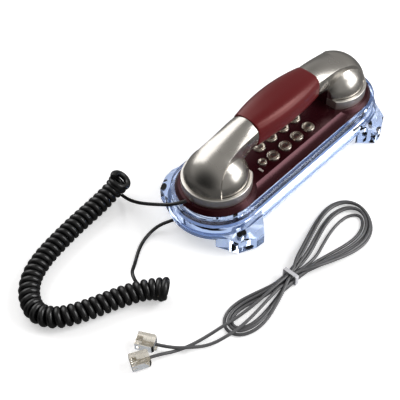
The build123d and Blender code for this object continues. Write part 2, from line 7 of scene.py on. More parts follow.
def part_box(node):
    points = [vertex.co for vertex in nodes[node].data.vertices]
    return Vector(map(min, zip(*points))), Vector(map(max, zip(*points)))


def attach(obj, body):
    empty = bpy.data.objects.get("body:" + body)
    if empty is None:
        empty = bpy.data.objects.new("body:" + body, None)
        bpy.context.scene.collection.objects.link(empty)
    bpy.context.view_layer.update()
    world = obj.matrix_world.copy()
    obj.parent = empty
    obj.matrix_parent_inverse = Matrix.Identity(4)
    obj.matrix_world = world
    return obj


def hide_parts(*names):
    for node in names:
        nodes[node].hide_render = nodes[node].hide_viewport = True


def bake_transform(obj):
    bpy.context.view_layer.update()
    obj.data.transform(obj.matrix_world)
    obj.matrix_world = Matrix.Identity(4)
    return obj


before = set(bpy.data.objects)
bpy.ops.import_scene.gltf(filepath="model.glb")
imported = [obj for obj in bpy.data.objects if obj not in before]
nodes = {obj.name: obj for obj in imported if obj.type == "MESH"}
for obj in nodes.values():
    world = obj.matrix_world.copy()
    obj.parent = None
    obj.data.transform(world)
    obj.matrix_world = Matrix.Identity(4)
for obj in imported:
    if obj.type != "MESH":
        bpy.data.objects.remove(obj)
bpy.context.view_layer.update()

# A desk and wall telephone with a curly handset cord and a tied line cord. The frame is in
# metres, +Y towards the earpiece, +Z up, and the table top is z = 0.

mm = 0.001
bpy.ops.object.select_all(action="DESELECT")
print("frame loaded")


# Small helpers

def linear(hexColour):
    channels = [int(hexColour[i:i + 2], 16) / 255 for i in (1, 3, 5)]
    return [c / 12.92 if c <= 0.04045 else ((c + 0.055) / 1.055) ** 2.4 for c in channels] + [1.0]


def addNode(tree, kind, values=(), links=(), **settings):
    # values and links are dictionaries from an input's name or number to a value or an output
    made = tree.nodes.new(kind)
    for name, value in settings.items():
        setattr(made, name, value)
    for name, value in dict(values).items():
        made.inputs[name].default_value = value
    for name, output in dict(links).items():
        tree.links.new(output, made.inputs[name])
    return made


def newMaterial(name, **sockets):
    made = bpy.data.materials.new(name)
    made.use_nodes = True
    shader = made.node_tree.nodes["Principled BSDF"]
    for socket, value in sockets.items():
        shader.inputs[socket.replace("_", " ")].default_value = value
    return made, made.node_tree, shader


def finish(obj, material, body):
    obj.data.materials.clear()
    obj.data.materials.append(material)
    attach(obj, body)
    obj.select_set(False)
    return obj


def paint(names, material):
    for name in names:
        mesh = nodes[name].data
        if not mesh.materials:
            mesh.materials.append(material)
        for i in range(len(mesh.materials)):
            mesh.materials[i] = material


# Camera, lights and table

view = {
    "target": (-0.0115, -0.0712, 0.0075),
    "azimuth": 44.1,
    "elevation": 48.6,
    "roll": -1.5,
    "distance": 0.607,
    "lens": 76.1,
}


def placeCamera():
    data = bpy.data.cameras.new("camera")
    data.lens = view["lens"]
    data.sensor_width = 36.0
    data.clip_start = 0.01
    camera = bpy.data.objects.new("camera", data)
    bpy.context.scene.collection.objects.link(camera)
    turn = (Matrix.Rotation(math.radians(view["azimuth"]), 4, "Z")
            @ Matrix.Rotation(math.radians(90 - view["elevation"]), 4, "X")
            @ Matrix.Rotation(math.radians(view["roll"]), 4, "Z"))
    back = turn.to_3x3() @ Vector((0, 0, 1))
    place = Vector(view["target"]) + back * view["distance"]
    camera.matrix_world = Matrix.Translation(place) @ turn
    bpy.context.scene.camera = camera


lamps = {
    # name: place, size across and along, watts, colour
    "leftPanel": ((-0.95, 0.05, 0.75), (1.2, 1.0), 8.5, "#ffffff"),
    "sidePanel": ((0.85, 0.60, 0.42), (0.85, 0.60), 5.5, "#ffffff"),
    "topPanel": ((0.62, 0.60, 0.90), (0.55, 0.45), 6.0, "#ffffff"),
}

studio = {
    "aim": (0.0, -0.04, 0.03),
    "throughClear": "#d8e3f7",
    "horizon": "#a3a2a1",
    "zenith": "#b0afad",
    # directions that are kept dark: where, how wide, how much
    "dark": [((0.05, -0.97, 0.15), 0.50, 0.95), ((-0.46, 0.48, 0.75), 0.85, 0.35)],
}


def placeLights():
    for name, (place, size, watts, colour) in lamps.items():
        data = bpy.data.lights.new(name, "AREA")
        data.shape = "RECTANGLE"
        data.size, data.size_y = size
        data.energy = watts
        data.color = linear(colour)[:3]
        lamp = bpy.data.objects.new(name, data)
        bpy.context.scene.collection.objects.link(lamp)
        lamp.location = place
        away = Vector(place) - Vector(studio["aim"])
        lamp.rotation_euler = away.to_track_quat("Z", "Y").to_euler()
    world = bpy.data.worlds.new("studio")
    bpy.context.scene.world = world
    world.use_nodes = True
    tree = world.node_tree
    ground = tree.nodes["Background"]
    direction = addNode(tree, "ShaderNodeTexCoord").outputs["Generated"]
    parts = addNode(tree, "ShaderNodeSeparateXYZ", links={0: direction})
    ramp = addNode(tree, "ShaderNodeValToRGB", links={0: parts.outputs["Z"]})
    ramp.color_ramp.elements[0].color = linear(studio["horizon"])
    ramp.color_ramp.elements[1].color = linear(studio["zenith"])
    colour = ramp.outputs["Color"]
    for towards, width, amount in studio["dark"]:
        along = addNode(tree, "ShaderNodeVectorMath",
                        {1: Vector(towards).normalized()}, {0: direction},
                        operation="DOT_PRODUCT")
        shade = addNode(tree, "ShaderNodeMapRange",
                        {"From Min": width, "From Max": 1.0, "To Min": 1.0, "To Max": 1 - amount},
                        {"Value": along.outputs["Value"]}, interpolation_type="SMOOTHSTEP")
        colour = addNode(tree, "ShaderNodeMixRGB", {0: 1.0},
                         {1: colour, 2: shade.outputs["Result"]},
                         blend_type="MULTIPLY").outputs["Color"]
    # rays that come through clear parts see a paler room than reflections do
    path = addNode(tree, "ShaderNodeLightPath")
    colour = addNode(tree, "ShaderNodeMixRGB", {2: linear(studio["throughClear"])},
                     {0: path.outputs["Is Transmission Ray"], 1: colour}).outputs["Color"]
    tree.links.new(colour, ground.inputs["Color"])
    bpy.context.scene.view_settings.view_transform = "Standard"


tableLook = {
    "side": 6.0,
    "colour": "#f4f4f5",
    "glow": 0.42,
    # how reflections see it
    "mirroredColour": "#565554",
    "mirroredGlow": 0.05,
}


def placeTable():
    bpy.ops.mesh.primitive_plane_add(size=tableLook["side"], location=(0, 0, 0))
    table = bpy.context.object
    table.name = "tableTop"
    glowing = tableLook["glow"]
    material, tree, shader = newMaterial(
        "white melamine", Base_Color=linear(tableLook["colour"]), Roughness=0.6,
        Specular_IOR_Level=0.2, Emission_Color=linear("#ffffff"), Emission_Strength=glowing)
    # reflections see a duller table than the eye does, which keeps the domes dark low down
    path = addNode(tree, "ShaderNodeLightPath")
    mirrored = addNode(tree, "ShaderNodeMath",
                       links={0: path.outputs["Is Glossy Ray"],
                              1: path.outputs["Is Transmission Ray"]},
                       operation="SUBTRACT", use_clamp=True).outputs["Value"]
    colour = addNode(tree, "ShaderNodeMix",
                     {6: linear(tableLook["colour"]), 7: linear(tableLook["mirroredColour"])},
                     {0: mirrored}, data_type="RGBA")
    glow = addNode(tree, "ShaderNodeMapRange",
                   {"To Min": glowing, "To Max": tableLook["mirroredGlow"]}, {"Value": mirrored})
    tree.links.new(colour.outputs[2], shader.inputs["Base Color"])
    tree.links.new(glow.outputs["Result"], shader.inputs["Emission Strength"])
    table.data.materials.append(material)
    table.select_set(False)


placeCamera()
placeLights()
placeTable()
print("camera, lights and table placed")


# Materials

def objectPlace(tree):
    return addNode(tree, "ShaderNodeTexCoord").outputs["Object"]


def grain(tree, shader, sizeMm, strength, depthMm, roughness=None, spread=0.04):
    # a fine moulded or blasted texture: bump, and a little change of roughness
    place = objectPlace(tree)
    noise = addNode(tree, "ShaderNodeTexNoise", {"Scale": 1000.0 / sizeMm, "Detail": 3.0},
                    {"Vector": place})
    bump = addNode(tree, "ShaderNodeBump", {"Strength": strength, "Distance": depthMm * mm},
                   {"Height": noise.outputs["Fac"]})
    tree.links.new(bump.outputs["Normal"], shader.inputs["Normal"])
    if roughness is not None:
        wide = addNode(tree, "ShaderNodeTexNoise", {"Scale": 1000.0 / 18.0, "Detail": 2.0},
                       {"Vector": place})
        change = addNode(tree, "ShaderNodeMapRange",
                         {"To Min": roughness - spread, "To Max": roughness + spread},
                         {"Value": wide.outputs["Fac"]})
        tree.links.new(change.outputs["Result"], shader.inputs["Roughness"])


def makeMaterials():
    made = {}
    # clear acrylic, moulded and polished: faint blue, with soft flow marks
    made["crystal"], tree, shader = newMaterial(
        "moulded clear acrylic", Base_Color=linear("#d6e4fc"), Transmission_Weight=1.0, IOR=1.49,
        Roughness=0.02)
    grain(tree, shader, 9.0, 0.12, 0.2)
    # dark maroon ABS, moulded with a satin gloss
    made["deck"], tree, shader = newMaterial(
        "satin maroon ABS", Base_Color=linear("#25060b"), IOR=1.53, Roughness=0.27,
        Specular_Tint=linear("#e6a4b0"))
    grain(tree, shader, 0.7, 0.10, 0.02, 0.27)
    made["grip"], tree, shader = newMaterial(
        "painted maroon ABS", Base_Color=linear("#5c1418"), IOR=1.53, Roughness=0.42,
        Specular_Tint=linear("#e9a9a2"), Coat_Weight=0.08, Coat_Roughness=0.32)
    grain(tree, shader, 0.6, 0.08, 0.02, 0.3)
    # nickel vacuum plating over ABS: smooth, with a slight orange peel
    made["nickel"], tree, shader = newMaterial(
        "vacuum plated nickel", Base_Color=linear("#b8b4ae"), Metallic=1.0, Roughness=0.27)
    grain(tree, shader, 3.0, 0.03, 0.02, 0.27, 0.03)
    # the bands below the domes are the same plating over a duller moulding. Their colour is
    # painted lighter than the domes' nickel, as painted light that brightens the bands where they
    # reflect the dull floor
    made["bandNickelPaintedLighter"], tree, shader = newMaterial(
        "satin plated nickel painted lighter", Base_Color=linear("#dcd8d2"), Metallic=1.0, Roughness=0.4)
    grain(tree, shader, 2.0, 0.04, 0.02, 0.4, 0.03)
    made["keyNickel"], tree, shader = newMaterial(
        "plated key nickel", Base_Color=linear("#c4bcb0"), Metallic=1.0, Roughness=0.27)
    grain(tree, shader, 1.2, 0.06, 0.02, 0.27, 0.03)
    # PVC jackets, extruded: glossy black on the handset cord, satin grey on the line cord
    made["blackPvc"], tree, shader = newMaterial(
        "extruded black PVC", Base_Color=linear("#0c0c0d"), IOR=1.53, Roughness=0.3)
    grain(tree, shader, 0.8, 0.12, 0.03, 0.3, 0.06)
    made["greyPvc"], tree, shader = newMaterial(
        "extruded grey PVC", Base_Color=linear("#58585a"), IOR=1.53, Roughness=0.34)
    grain(tree, shader, 0.6, 0.1, 0.02, 0.34, 0.05)
    made["blackPlastic"], tree, shader = newMaterial(
        "spark textured black ABS", Base_Color=linear("#141415"), IOR=1.5, Roughness=0.5)
    grain(tree, shader, 0.5, 0.35, 0.04, 0.5)
    made["greyPlastic"], tree, shader = newMaterial(
        "moulded grey ABS", Base_Color=linear("#dbe6fa"), IOR=1.5, Roughness=0.45)
    grain(tree, shader, 0.6, 0.25, 0.03, 0.45)
    made["platePlastic"], tree, shader = newMaterial(
        "moulded slate ABS", Base_Color=linear("#8d97a8"), IOR=1.5, Roughness=0.5)
    grain(tree, shader, 0.6, 0.25, 0.03, 0.5)
    made["rubber"], tree, shader = newMaterial(
        "moulded grey rubber", Base_Color=linear("#828c9c"), IOR=1.52, Roughness=0.75)
    grain(tree, shader, 0.4, 0.4, 0.04, 0.75)
    made["blackRubber"], tree, shader = newMaterial(
        "moulded black rubber", Base_Color=linear("#101011"), IOR=1.52, Roughness=0.6)
    grain(tree, shader, 0.4, 0.35, 0.04, 0.6)
    made["zinc"], tree, shader = newMaterial(
        "zinc plated steel", Base_Color=linear("#b4b6ba"), Metallic=1.0, Roughness=0.32)
    grain(tree, shader, 0.5, 0.2, 0.02, 0.32)
    made["steel"], tree, shader = newMaterial(
        "plain steel plate", Base_Color=linear("#77787b"), Metallic=1.0, Roughness=0.45)
    grain(tree, shader, 1.0, 0.25, 0.03, 0.45)
    made["board"], tree, shader = newMaterial(
        "green solder mask", Base_Color=linear("#1e5a34"), IOR=1.5, Roughness=0.35)
    grain(tree, shader, 1.5, 0.2, 0.03, 0.35)
    made["silicone"], tree, shader = newMaterial(
        "moulded silicone", Base_Color=linear("#c9c9c6"), IOR=1.41, Roughness=0.6)
    grain(tree, shader, 0.6, 0.2, 0.02, 0.6)
    made["lens"], tree, shader = newMaterial(
        "frosted lamp lens", Base_Color=linear("#cfc6bf"), IOR=1.49, Roughness=0.3,
        Transmission_Weight=0.3)
    grain(tree, shader, 0.5, 0.2, 0.02, 0.3)
    made["brass"], tree, shader = newMaterial(
        "rolled brass", Base_Color=linear("#c9a45c"), Metallic=1.0, Roughness=0.3)
    grain(tree, shader, 0.8, 0.15, 0.02, 0.3)
    made["gold"], tree, shader = newMaterial(
        "gold flashed contact", Base_Color=linear("#8d7a4e"), Metallic=1.0, Roughness=0.3)
    grain(tree, shader, 0.5, 0.1, 0.01, 0.3)
    made["tie"], tree, shader = newMaterial(
        "coated wire tie", Base_Color=linear("#cfcfd4"), IOR=1.5, Roughness=0.4)
    grain(tree, shader, 0.5, 0.2, 0.02, 0.4)
    made["clearPlug"], tree, shader = newMaterial(
        "clear polycarbonate", Base_Color=linear("#d6d0c4"), IOR=1.585, Roughness=0.04,
        Transmission_Weight=1.0)
    grain(tree, shader, 4.0, 0.2, 0.1)
    # ink is flat and dull on the metal
    made["ink"], tree, shader = newMaterial(
        "black pad ink", Base_Color=linear("#15110f"), IOR=1.5, Roughness=0.5)
    grain(tree, shader, 0.3, 0.1, 0.01, 0.5)
    return made


materials = makeMaterials()

finishes = {
    "crystal": ["crystal_base"],
    "deck": ["top_housing", "hanger_tab", "hook_plunger"],
    "grip": ["grip_shell"],
    "nickel": ["ear_cap", "mouth_cap"],
    "bandNickelPaintedLighter": ["ear_cup", "mouth_cup"],
    "keyNickel": [name for name in nodes if name.startswith("key_")],
    "platePlastic": ["base_plate"],
    "blackPlastic": ["hook_switch", "line_jack", "ear_grille", "mouth_grille"],
    "greyPlastic": ["base_pan"],
    "rubber": [name for name in nodes if name.startswith("rubber_foot")],
    "blackRubber": ["cord_gland", "lead_boot"],
    "zinc": [name for name in nodes if "_screw_" in name] + ["ear_speaker", "microphone"],
    "steel": ["ballast", "handset_weight"],
    "board": ["main_board"],
    "silicone": ["keypad_membrane"],
    "lens": ["call_lamp"],
    "brass": ["ringer"],
    "gold": ["plug_a_contacts", "plug_b_contacts"],
    "tie": ["cord_tie"],
    "clearPlug": ["plug_a", "plug_b"],
}
for finishName, names in finishes.items():
    paint(names, materials[finishName])
print("materials given to the frame's parts")


# Cords

def routeCurve(name, points, thickness):
    curve = bpy.data.curves.new(name, "CURVE")
    curve.dimensions = "3D"
    curve.resolution_u = 6
    curve.bevel_depth = thickness / 2
    curve.bevel_resolution = 4
    curve.use_fill_caps = True
    spline = curve.splines.new("NURBS")
    spline.points.add(len(points) - 1)
    for point, place in zip(spline.points, points):
        point.co = (*place, 1.0)
    spline.order_u = 3
    spline.use_endpoint_u = True
    obj = bpy.data.objects.new(name, curve)
    bpy.context.scene.collection.objects.link(obj)
    return obj


def readLine(points, resolution=10):
    # the smooth line that a route's spline follows, as points in metres
    probe = routeCurve("probe", points, 0.0)
    probe.data.use_fill_caps = False
    probe.data.resolution_u = resolution
    mesh = bpy.data.meshes.new_from_object(probe)
    line = [vertex.co.copy() for vertex in mesh.vertices]
    curve = probe.data
    bpy.data.objects.remove(probe)
    bpy.data.curves.remove(curve)
    bpy.data.meshes.remove(mesh)
    return line


def lineLength(line):
    return sum((b - a).length for a, b in zip(line, line[1:]))


def spaced(line, count):
    # the same line as count points, evenly spaced along it
    total = lineLength(line)
    made = [line[0].copy()]
    walked = 0.0
    step = total / (count - 1)
    for a, b in zip(line, line[1:]):
        part = (b - a).length
        while len(made) < count - 1 and walked + part >= step * len(made):
            made.append(a.lerp(b, (step * len(made) - walked) / part))
        walked += part
    made.append(line[-1].copy())
    return made


def metres(points):
    return [Vector(p) * mm for p in points]


handsetCord = {
    "strand": 3.8 * mm,
    # the coiled part is thicker than the straight ends
    "coilStrand": 4.6 * mm,
    "leadStrand": 2.5 * mm,
    "coil": 14.8 * mm,
    "flare": 1.5 * mm,
    "turns": 45,
    "perTurn": 14,
    "lead": metres([(-1.983, -94.681, 33.6), (-3.856, -99.317, 33.6), (-9.2, -104.2, 32.2),
                    (-17.4, -106.9, 28.4), (-26.8, -107.2, 22.0), (-37.3, -106.2, 14.2),
                    (-46.3, -105.0, 8.4), (-53.4, -104.2, 5.0), (-59.2, -103.6, 4.0)]),
    "axis": metres([(-61.2, -100.6, 17.6), (-62.6, -102.8, 13.2), (-63.8, -107.6, 9.6),
                    (-63.4, -116, 7.8), (-62.2, -127, 7.5), (-61.2, -139, 7.5),
                    (-59.8, -152, 7.5), (-57.5, -167, 7.5), (-54.5, -182, 7.5),
                    (-48.5, -197, 7.5), (-37.5, -208.5, 7.5), (-23.5, -213.5, 7.5),
                    (-12, -208, 7.5), (-4.6, -197, 7.5), (1.2, -184, 7.5), (6.6, -170, 7.6),
                    (13.4, -156.5, 8.0), (20.5, -147.8, 8.6), (26.5, -144.3, 9.0)]),
    "base": metres([(15.0, -153.4, 8.6), (9.6, -154.6, 10.8), (4.2, -152.8, 11.6),
                    (-0.8, -149.2, 9.4), (-5.0, -144.0, 5.0),
                    (-9.4, -138.4, 1.9), (-13.8, -132.0, 1.35), (-17.6, -125.0, 1.35),
                    (-19.8, -117.4, 1.35), (-20.2, -110.6, 2.2), (-18.2, -104.8, 4.6),
                    (-14.355, -99.014, 6.4), (-11.963, -93.512, 6.4)]),
    # the share of the turns at each end that flare, and how much slower the line runs there
    "endShare": 0.075,
    "endSlowness": 0.22,
    # where the straight end dives into the coil, as a share of the coil's line
    "dive": 0.95,
    # points over which the straight end thickens
    "thickening": 6,
    # points and depth of the spiral that brings the wire in at the coil's far end
    "spiral": (9, 5.0 * mm),
    # points of the coil's line, and how many to each side give its direction
    "finePoints": 4000,
    "reach": 12,
}


def helix(line):
    # points of the coil, wound round its line without twist, wider and tighter at its ends
    facts = handsetCord
    count = facts["turns"] * facts["perTurn"] + 1
    last = facts["finePoints"] - 1
    reach = facts["reach"]
    slow = facts["endSlowness"]
    ends = [min(1.0, min(i, count - 1 - i) / (facts["endShare"] * count)) for i in range(count)]
    shares = [0.0]
    for nearness in ends[1:]:
        shares.append(shares[-1] + 1 - slow + slow * nearness)
    fine = spaced(line, last + 1)
    side = Vector((0, 0, 1))
    points = []
    for i in range(count):
        at = min(int(last * shares[i] / shares[-1]), last)
        ahead = (fine[min(at + reach, last)] - fine[max(at - reach, 0)]).normalized()
        side = (side - ahead * side.dot(ahead)).normalized()
        other = ahead.cross(side)
        angle = 2 * math.pi * i / facts["perTurn"]
        radius = ((facts["coil"] - facts["coilStrand"]) / 2
                  + facts["flare"] * (1 - ends[i]) ** 2)
        points.append(fine[at] + (side * math.cos(angle) + other * math.sin(angle)) * radius)
    steps, depth = facts["spiral"]
    for j in range(1, steps):
        share = j / steps
        at = last - int(last * depth / lineLength(line) * share ** 2)
        angle = 2 * math.pi * (count - 1 + j) / facts["perTurn"]
        shrunk = radius * math.cos(math.pi / 2 * share)
        points.append(fine[at] + (side * math.cos(angle) + other * math.sin(angle)) * shrunk)
    return points


def makeHandsetCord():
    facts = handsetCord
    line = readLine(facts["axis"])
    coil = helix(line)
    steps = 60
    inside = spaced(line, steps + 1)[int(steps * facts["dive"]):-2]
    straight = list(reversed(facts["base"])) + inside
    points = straight + list(reversed(coil))
    cord = routeCurve("curlyCord", points, facts["strand"])
    cord.data.resolution_u = 3
    for i, point in enumerate(cord.data.splines[0].points):
        past = i - len(straight) + facts["thickening"] // 2
        share = min(1.0, max(0.0, past / facts["thickening"]))
        width = facts["leadStrand"] * (1 - share) + facts["coilStrand"] * share
        point.radius = width / facts["strand"]
    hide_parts("cord_coil", "base_lead")
    finish(cord, materials["blackPvc"], "base")
    length = lineLength(readLine(points, 3))
    print(f"curly cord {length:.3f} m")
    return cord, length


curlyCord, curlyLength = makeHandsetCord()


def makeHandsetLead():
    facts = handsetCord
    line = spaced(readLine(facts["lead"], 16), 90)
    lead = routeCurve("leadCurve", facts["lead"], facts["leadStrand"])
    lead.data.resolution_u = 16
    lead.data.bevel_resolution = 6
    mesh = bpy.data.meshes.new_from_object(lead)
    mesh.name = "handsetLead"
    bpy.data.objects.remove(lead)
    tube = bpy.data.objects.new("handsetLead", mesh)
    bpy.context.scene.collection.objects.link(tube)
    for polygon in mesh.polygons:
        polygon.use_smooth = True
    mesh.materials.clear()
    mesh.materials.append(materials["blackPvc"])
    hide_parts("handset_lead", "lead_boot")
    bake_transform(tube)
    return tube, line


handsetLead, leadLine = makeHandsetLead()

lineCord = {
    "strand": 2.2 * mm,
    # from the plugs to the tie
    "leadA": metres([(52.5, -186.0, 5.0), (55.6, -180.17, 5.0), (59.4, -172.4, 2.6),
                     (62.6, -164.0, 1.2), (65.3, -155.5, 1.2), (67.8, -147.0, 2.2),
                     (70.4, -138.9, 4.4), (72.8, -128.5, 4.6), (74.6, -117.5, 5.4),
                     (75.6, -107.0, 6.2), (76.2, -96.0, 7.0), (76.6, -87.0, 7.1)]),
    "leadB": metres([(48.5, -176.8, 5.0), (54.2, -173.77, 5.0), (60.6, -168.8, 4.2),
                     (66.0, -162.8, 3.8), (70.6, -156.4, 2.2), (74.2, -149.6, 2.2),
                     (77.4, -141.5, 4.2), (79.2, -132.5, 4.4), (79.9, -122.5, 5.0),
                     (79.8, -112.0, 6.0), (79.4, -101.0, 6.8), (79.2, -90.0, 7.1)]),
    # one half turn each: outermost and innermost, without the tie
    "upperOuter": metres([(72.2, -66.0, 0), (67.6, -52.0, 0), (62.6, -36.5, 0), (58.6, -22.0, 0),
                          (57.6, -9.0, 0), (62.2, 2.0, 0), (71.5, 6.3, 0), (82.5, 3.4, 0),
                          (92.5, -5.0, 0), (97.2, -17.5, 0), (96.2, -32.0, 0), (91.2, -48.0, 0),
                          (85.6, -63.0, 0)]),
    "upperInner": metres([(79.0, -64.0, 0), (79.2, -52.0, 0), (76.2, -41.0, 0), (73.2, -29.0, 0),
                          (72.0, -17.5, 0), (73.0, -8.0, 0), (77.2, -2.2, 0), (82.0, -2.6, 0),
                          (86.8, -8.6, 0), (89.2, -18.0, 0), (88.2, -29.5, 0), (85.0, -43.0, 0),
                          (82.0, -55.0, 0)]),
    "lowerOuter": metres([(82.0, -90.0, 0), (85.2, -102.5, 0), (87.4, -114.5, 0),
                          (86.6, -125.8, 0), (82.2, -134.2, 0), (75.5, -137.4, 0),
                          (68.6, -135.4, 0), (64.0, -127.5, 0), (64.2, -116.0, 0),
                          (68.6, -104.0, 0), (73.6, -92.0, 0)]),
    "lowerInner": metres([(80.4, -92.0, 0), (82.2, -103.5, 0), (83.4, -114.5, 0),
                          (82.8, -123.4, 0), (80.0, -130.6, 0), (75.6, -132.9, 0),
                          (71.2, -130.8, 0), (69.2, -124.5, 0), (70.2, -116.0, 0),
                          (73.2, -106.0, 0), (75.6, -94.0, 0)]),
    "upperShares": [0.0, 0.16, 0.42, 0.58, 1.0],
    "lowerShares": [0.0, 0.55, 0.78, 1.0],
    "tieY": -78.5 * mm,
    # some loops lie over others by this much
    "lift": 1.6 * mm,
    "liftedUpper": (1, 3),
    "liftedLower": (1, 3),
    "columns": [74.5 * mm, 76.75 * mm, 79.0 * mm, 81.25 * mm],
    "rows": [2.0 * mm, 4.25 * mm, 6.5 * mm],
}


def tiePoints(column, row, upwards):
    # two points that take a strand straight through the tie
    x = lineCord["columns"][column]
    z = lineCord["rows"][row]
    y = lineCord["tieY"]
    ends = [Vector((x, y - 4.5 * mm, z)), Vector((x, y + 4.5 * mm, z))]
    return ends if upwards else ends[::-1]


def lobe(outer, inner, share, heights):
    points = []
    count = len(outer)
    for i, (a, b) in enumerate(zip(outer, inner)):
        point = a.lerp(b, share)
        middle = 1 - abs(2 * i / (count - 1) - 1)
        low = lineCord["strand"] / 2 + 0.1 * mm
        rest = heights[0] * (1 - i / (count - 1)) + heights[1] * i / (count - 1)
        settle = min(1.0, middle * 2.2)
        point.z = rest * (1 - settle) + max(low, low + heights[2]) * settle
        points.append(point)
    return points


def makeLineCord():
    facts = lineCord
    rows = facts["rows"]
    # column and row of each strand at the tie, in the order in which the cord passes it
    passes = [(1, 2), (2, 2), (0, 1), (3, 1), (1, 1), (2, 1), (0, 0), (3, 0), (1, 0), (2, 0)]
    points = list(facts["leadA"])
    for turn in range(5):
        up = passes[2 * turn]
        down = passes[2 * turn + 1]
        points += tiePoints(*up, True)
        lift = facts["lift"] if turn in facts["liftedUpper"] else 0.0
        points += lobe(facts["upperOuter"], facts["upperInner"], facts["upperShares"][turn],
                       (rows[up[1]], rows[down[1]], lift))
        points += tiePoints(*down, False)
        if turn < 4:
            following = passes[2 * turn + 2]
            lift = facts["lift"] if turn in facts["liftedLower"] else 0.0
            points += lobe(facts["lowerOuter"], facts["lowerInner"], facts["lowerShares"][turn],
                           (rows[down[1]], rows[following[1]], lift))
    points += list(reversed(facts["leadB"]))
    cord = routeCurve("lineCord", points, facts["strand"])
    cord.data.resolution_u = 5
    cord.data.bevel_resolution = 3
    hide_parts("line_hank", "line_lead_a", "line_lead_b")
    finish(cord, materials["greyPvc"], "base")
    length = lineLength(readLine(points, 5))
    print(f"line cord {length:.3f} m")
    return cord, length


lineCordPiece, lineLengthTotal = makeLineCord()
print("cords laid")

# Handset: grip and metal ends

handset = {
    # half width, half height, middle height and squareness of the grip
    "gripEnd": (11.7, 11.2, 58.6),
    "gripMiddle": (15.2, 11.4, 60.0),
    "squareness": 3.1,
    # ends of the grip, and the gap that it leaves before each metal end
    "seams": (-36.0, 31.0),
    "seam": 0.35,
    # screw holes under the grip: places along it, radius, depth and height
    "holes": ((20.0, -20.0), 2.6, 3.2, 48.9),
    # radius and height of the ball below each hood
    "ball": (22.4, 19.2),
    "pivotY": 66.0,
    "pivotZ": 38.4,
    # inner flat face of each end, and the underside of its neck
    "faceY": 47.5,
    "neckBottom": 46.4,
    # the notch over the hanger tab: half width, far side and top
    "notch": (8.2, 52.0, 44.6),
    # edge rounding: width, steps, and the angle from which an edge is rounded
    "gripEdge": (0.35, 3, 50),
    "capEdge": (0.28, 2, 28),
}

# The hood that sweeps from the grip over the ball. Up to the pivot its sections stand upright
# at y, and past it they turn about the pivot: y, turn, half width and height of the crease,
# height of the crown, middle of the side and height of the foot, all from the pivot
hoodRows = [
    (33.75, 90, 10.9, 26.0, 31.2, 11.7, 20.0, 8.2, 10.2),
    (41.0, 90, 11.0, 25.6, 30.4, 11.3, 18.6, 8.6, 9.6),
    (48.0, 90, 10.9, 24.8, 29.0, 10.9, 17.4, 9.4, 8.2),
    (55.0, 90, 10.9, 23.7, 27.1, 10.6, 16.4, 10.0, 6.0),
    (61.0, 90, 11.3, 22.2, 25.2, 10.9, 14.6, 10.4, 4.6),
    (66.0, 90, 11.9, 20.7, 23.7, 11.4, 12.8, 10.6, 3.6),
    (66.0, 68, 13.3, 18.6, 22.7, 12.5, 11.0, 10.8, 3.0),
    (66.0, 45, 15.2, 17.1, 22.5, 14.0, 9.6, 11.0, 2.6),
    (66.0, 22, 17.0, 15.7, 22.9, 15.4, 8.6, 11.0, 2.2),
    (66.0, 0, 18.0, 14.9, 23.3, 16.0, 8.0, 11.0, 2.0),
    (66.0, -12, 18.2, 14.7, 23.4, 16.2, 7.8, 11.0, 2.0),
]


def smoothRows(rows, count):
    # a smooth curve through the rows, read at evenly spaced steps
    made = []
    last = len(rows) - 1
    for step in range(count):
        t = step * last / (count - 1)
        i = min(int(t), last - 1)
        f = t - i
        before, a, b, after = (rows[max(i - 1, 0)], rows[i], rows[i + 1], rows[min(i + 2, last)])
        made.append(tuple(
            0.5 * (2 * q + (r - p) * f + (2 * p - 5 * q + 4 * r - s) * f * f
                   + (3 * q - p - 3 * r + s) * f ** 3)
            for p, q, r, s in zip(before, a, b, after)))
    return made


def arcThrough(a, b, c, count):
    # points of the circle through a, b and c, from a to c
    ax, ay = a
    bx, by = b
    cx, cy = c
    d = 2 * (ax * (by - cy) + bx * (cy - ay) + cx * (ay - by))
    if abs(d) < 1e-9:
        return [(ax + (cx - ax) * i / (count - 1), ay + (cy - ay) * i / (count - 1))
                for i in range(count)]
    aa, bb, cc = ax * ax + ay * ay, bx * bx + by * by, cx * cx + cy * cy
    ux = (aa * (by - cy) + bb * (cy - ay) + cc * (ay - by)) / d
    uy = (aa * (cx - bx) + bb * (ax - cx) + cc * (bx - ax)) / d
    radius = math.hypot(ax - ux, ay - uy)
    start = math.atan2(ay - uy, ax - ux)
    middle = (math.atan2(by - uy, bx - ux) - start) % (2 * math.pi)
    sweep = (math.atan2(cy - uy, cx - ux) - start) % (2 * math.pi)
    if middle > sweep:
        sweep -= 2 * math.pi
    return [(ux + radius * math.cos(start + sweep * i / (count - 1)),
             uy + radius * math.sin(start + sweep * i / (count - 1))) for i in range(count)]


def sectionMesh(name, sections):
    # a closed skin over rings of points, with a fan at each end
    ring = len(sections[0])
    points = [p for section in sections for p in section]
    faces = []
    for i in range(len(sections) - 1):
        for j in range(ring):
            k = (j + 1) % ring
            faces.append((i * ring + j, i * ring + k, (i + 1) * ring + k, (i + 1) * ring + j))
    for i in (0, len(sections) - 1):
        middle = sum((Vector(p) for p in sections[i]), Vector()) / ring
        points.append(tuple(middle))
        for j in range(ring):
            faces.append((len(points) - 1, i * ring + j, i * ring + (j + 1) % ring))
    mesh = bpy.data.meshes.new(name)
    mesh.from_pydata([tuple(Vector(p) * mm) for p in points], [], faces)
    obj = bpy.data.objects.new(name, mesh)
    bpy.context.scene.collection.objects.link(obj)
    outwards(obj)
    return obj


def only(obj):
    bpy.ops.object.select_all(action="DESELECT")
    obj.select_set(True)
    bpy.context.view_layer.objects.active = obj


def outwards(obj):
    only(obj)
    bpy.ops.object.mode_set(mode="EDIT")
    bpy.ops.mesh.select_all(action="SELECT")
    bpy.ops.mesh.remove_doubles(threshold=1e-6)
    bpy.ops.mesh.normals_make_consistent(inside=False)
    bpy.ops.object.mode_set(mode="OBJECT")
    obj.select_set(False)


